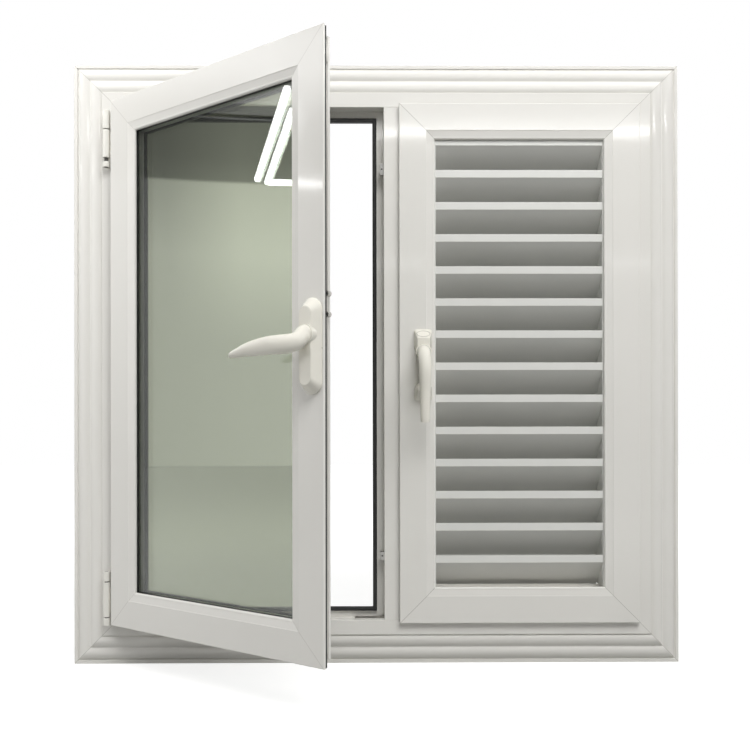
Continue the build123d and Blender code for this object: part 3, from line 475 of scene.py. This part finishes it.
# Louvre: fourteen blades of rolled aluminium strip, held between two upright carriers. Their
# white coat is cooler and softer than the bars' and shows no sharp reflections.
LOUVRE_WHITE = ("E2E2DE", "DCDCD7")
finish(["louvre_blades", "louvre_left_carrier", "louvre_right_carrier"], powder_coat(
    "powder_coated_louvre", *LOUVRE_WHITE, roughness=0.25))

# Stage: a plain pale floor under the frame, three soft lamps above, at the hinge side and behind,
# tube lamps that show only in glass and gloss, and a world that is white to the camera.
# Tubes a to c are the lit loop in the open sash's glass, d and f the bright band near the top of
# the stiles, and e the faint band under it. Each has its ends and its strength.
# Each soft lamp has its place, its target, its size and its power in watts.
FLOOR_Z = sill_low.z
FLOOR_HALF = 8.0
FLOOR_GREY = "B9B9B7"
FLOOR_GLOW = {"From Min": 0.7, "From Max": 1.8, "To Min": 0.70, "To Max": 1.0}
MIRRORED_SHARE = 0.78
TUBE_RADIUS = 0.022
TUBES = {
    "tube_lamp_a": ((-3.686, -0.933, 2.2), (-5.384, -1.045, 2.2), 16.0),
    "tube_lamp_b": ((-3.994, -1.024, 2.2), (-5.439, -1.129, 2.2), 16.0),
    "tube_lamp_c": ((-5.437, -1.136, 2.2), (-5.288, -1.853, 2.2), 16.0),
    "tube_lamp_d": ((0.1, -3.99, 2.16), (1.8, -3.98, 2.16), 18.0),
    "tube_lamp_f": ((0.1, -3.99, 2.24), (1.8, -3.98, 2.24), 3.0),
    "tube_lamp_e": ((-0.4, -8.3, 2.2), (3.4, -8.3, 2.2), 5.0),
}
LAMPS = {
    "ceiling_panel": ((0.7, -1.5, 2.35), (0.05, 0, 0.45), (2.0, 1.2), 66.0),
    "side_panel": ((-1.0, -0.32, 1.0), (-0.38, 0, 0.45), (0.3, 1.3), 6.5),
    "rear_panel": ((0.2, 2.2, 2.2), (0, 0, 0.45), (1.6, 1.6), 13.0),
}
# The room that shows in glass and gloss: rows of how far up a direction points and how bright it
# is, then how that changes with the direction's Y on the room's side, and its X and Z outside.
FILL_LIGHT = 0.12
OUTSIDE_FROM = 0.3
TURNED = {"From Min": -0.25, "From Max": 0.0, "To Min": 1.15, "To Max": 0.75}
AHEAD = {"From Min": -0.8, "From Max": -0.4, "To Min": 0.45, "To Max": 1.0}
OUTSIDE_ACROSS = {"From Min": -0.21, "From Max": -0.13, "To Min": 0.0, "To Max": 1.0}
OUTSIDE_HIGHER = {"From Min": 0.1, "From Max": 0.28, "To Min": 0.06, "To Max": 1.0}
ROOM = [(0.2000, 1.0), (0.2700, 0.74), (0.2750, 0.72), (0.2785, 0.30), (0.3000, 0.24), (0.3390, 0.21),
        (0.3396, 0.80), (0.3404, 0.80), (0.3410, 0.12), (0.3437, 0.12), (0.3445, 0.75), (0.3540, 0.75),
        (0.3550, 1.8), (0.3700, 2.2), (0.3850, 4.0), (0.4250, 4.0), (0.4350, 1.0), (0.4500, 1.0)]


def any_of(tree, *names):
    """1 for rays of any of these kinds."""
    paths = add_node(tree, "ShaderNodeLightPath")
    total = paths.outputs[names[0]]
    for name in names[1:]:
        larger = add_node(tree, "ShaderNodeMath", {0: total, 1: paths.outputs[name]}, operation="MAXIMUM")
        total = larger.outputs[0]
    return total


def make_floor():
    """A flat pale sheet that shows white further off and keeps the window's shadow."""
    h = FLOOR_HALF
    mesh = bpy.data.meshes.new("pale_floor")
    corners = [(x, y, FLOOR_Z) for x, y in ((-h, -h), (h, -h), (h, h), (-h, h))]
    mesh.from_pydata(corners, [], [(0, 1, 2, 3)])
    floor = bpy.data.objects.new("pale_floor", mesh)
    bpy.context.scene.collection.objects.link(floor)
    material, tree = new_material("pale_floor_paint")
    place = add_node(tree, "ShaderNodeTexCoord").outputs["Object"]
    away = add_node(tree, "ShaderNodeVectorMath", {0: place}, operation="LENGTH").outputs["Value"]
    glow = add_node(tree, "ShaderNodeMapRange", {
        "Value": away, **FLOOR_GLOW,
    }, interpolation_type="SMOOTHSTEP").outputs[0]
    mirrored = add_node(tree, "ShaderNodeMath", {
        0: any_of(tree, "Is Glossy Ray", "Is Transmission Ray"), 1: MIRRORED_SHARE,
    }, operation="MULTIPLY")
    seen = add_node(tree, "ShaderNodeMath", {
        0: any_of(tree, "Is Camera Ray"), 1: mirrored.outputs[0],
    }, operation="MAXIMUM")
    shown = add_node(tree, "ShaderNodeMath", {0: seen.outputs[0], 1: glow}, operation="MULTIPLY")
    paint = add_node(tree, "ShaderNodeBsdfPrincipled", {
        "Base Color": linear(FLOOR_GREY), "Roughness": 0.9, "Specular IOR Level": 0.0,
        "Emission Color": linear("FFFFFF"), "Emission Strength": shown.outputs[0],
    })
    add_node(tree, "ShaderNodeOutputMaterial", {"Surface": paint.outputs[0]})
    mesh.materials.append(material)


def make_tube(name, start, end, strength):
    """A glowing tube lamp between two points that shows in reflections only."""
    start, end = np.array(start), np.array(end)
    length = np.linalg.norm(end - start)
    points, faces = revolved([(TUBE_RADIUS, 0.0), (TUBE_RADIUS, length)], start, end - start)
    mesh = bpy.data.meshes.new(name)
    mesh.from_pydata(points.tolist(), [], faces)
    tube = bpy.data.objects.new(name, mesh)
    bpy.context.scene.collection.objects.link(tube)
    material, tree = new_material(name + "_glow")
    glow = add_node(tree, "ShaderNodeEmission", {"Strength": strength})
    add_node(tree, "ShaderNodeOutputMaterial", {"Surface": glow.outputs[0]})
    mesh.materials.append(material)
    tube.visible_camera = False
    tube.visible_diffuse = False
    tube.visible_shadow = False


def make_world():
    """White to the camera, a low even fill, and in glass and gloss a room with its ceiling."""
    world = bpy.data.worlds.new("studio")
    world.use_nodes = True
    tree = world.node_tree
    tree.nodes.clear()
    bpy.context.scene.world = world
    heading = add_node(tree, "ShaderNodeTexCoord").outputs["Generated"]
    split = add_node(tree, "ShaderNodeSeparateXYZ", {0: heading})
    bottom, top = ROOM[0][0], ROOM[-1][0]
    share = add_node(tree, "ShaderNodeMapRange", {
        "Value": split.outputs["Z"], "From Min": bottom, "From Max": top,
    })
    room = add_node(tree, "ShaderNodeFloatCurve", {"Value": share.outputs[0]})
    room.mapping.use_clip = False
    curve = room.mapping.curves[0]
    while len(curve.points) < len(ROOM):
        curve.points.new(0.5, 0.5)
    for point, (up, glow) in zip(curve.points, ROOM):
        point.location = ((up - bottom) / (top - bottom), glow)
        point.handle_type = "VECTOR"
    room.mapping.update()
    turned = add_node(tree, "ShaderNodeMapRange", {"Value": split.outputs["Y"], **TURNED})
    ahead = add_node(tree, "ShaderNodeMapRange", {"Value": split.outputs["Y"], **AHEAD})
    inside = add_node(tree, "ShaderNodeMath", {
        0: turned.outputs[0], 1: ahead.outputs[0],
    }, operation="MULTIPLY")
    outside = add_node(tree, "ShaderNodeMath", {
        0: split.outputs["Y"], 1: OUTSIDE_FROM,
    }, operation="GREATER_THAN")
    across = add_node(tree, "ShaderNodeMapRange", {"Value": split.outputs["X"], **OUTSIDE_ACROSS})
    higher = add_node(tree, "ShaderNodeMapRange", {"Value": split.outputs["Z"], **OUTSIDE_HIGHER})
    brighter = add_node(tree, "ShaderNodeMath", {
        0: across.outputs[0], 1: higher.outputs[0], 2: 1.0,
    }, operation="MULTIPLY_ADD")
    sided = add_node(tree, "ShaderNodeMix", {
        0: outside.outputs[0], 2: inside.outputs[0], 3: brighter.outputs[0],
    })
    shown = add_node(tree, "ShaderNodeMath", {0: room.outputs[0], 1: sided.outputs[0]}, operation="MULTIPLY")
    reflected = add_node(tree, "ShaderNodeMix", {
        0: any_of(tree, "Is Glossy Ray", "Is Transmission Ray"), 2: FILL_LIGHT, 3: shown.outputs[0],
    })
    seen = add_node(tree, "ShaderNodeMix", {
        0: any_of(tree, "Is Camera Ray"), 2: reflected.outputs[0], 3: 1.0,
    })
    background = add_node(tree, "ShaderNodeBackground", {
        "Color": linear("FFFFFF"), "Strength": seen.outputs[0],
    })
    add_node(tree, "ShaderNodeOutputWorld", {"Surface": background.outputs[0]})


def add_panel(name, place, target, size, power):
    """A soft rectangular lamp that points at a target."""
    data = bpy.data.lights.new(name, "AREA")
    data.shape = "RECTANGLE"
    data.size, data.size_y = size
    data.energy = power
    lamp = bpy.data.objects.new(name, data)
    bpy.context.scene.collection.objects.link(lamp)
    lamp.location = place
    lamp.rotation_euler = (Vector(target) - Vector(place)).to_track_quat("-Z", "Y").to_euler()
    lamp.visible_glossy = False
    lamp.visible_transmission = False


make_floor()
make_world()
for name, (start, end, strength) in TUBES.items():
    make_tube(name, start, end, strength)
for name, (place, target, size, power) in LAMPS.items():
    add_panel(name, place, target, size, power)

# Camera: almost level, 1.3 m in front of the window and a little left of its middle, with the
# frame of a square photograph. Its place and its axes were fitted to the frame and both sashes.
PHOTO_SIZE = 750
FOCAL_PIXELS = 862.379
CENTRE_PIXEL = (365.503, 431.804)
SENSOR_WIDTH = 36.0
CAMERA_PLACE = Vector((-0.02659, -1.29586, 0.32135))
TO_RIGHT = Vector((0.99997, -0.00729, -0.00154))
STRAIGHT_AHEAD = Vector((0.0073, 0.99997, 0.00197))
camera_data = bpy.data.cameras.new("photo_camera")
camera_data.sensor_width = SENSOR_WIDTH
camera_data.lens = FOCAL_PIXELS / PHOTO_SIZE * SENSOR_WIDTH
camera_data.shift_x = (PHOTO_SIZE / 2 - CENTRE_PIXEL[0]) / PHOTO_SIZE
camera_data.shift_y = (CENTRE_PIXEL[1] - PHOTO_SIZE / 2) / PHOTO_SIZE
camera = bpy.data.objects.new("photo_camera", camera_data)
bpy.context.scene.collection.objects.link(camera)
columns = Matrix((TO_RIGHT, TO_RIGHT.cross(STRAIGHT_AHEAD), -STRAIGHT_AHEAD)).transposed()
camera.matrix_world = Matrix.Translation(CAMERA_PLACE) @ columns.to_4x4()
bpy.context.scene.camera = camera
bpy.context.scene.view_settings.view_transform = "Standard"
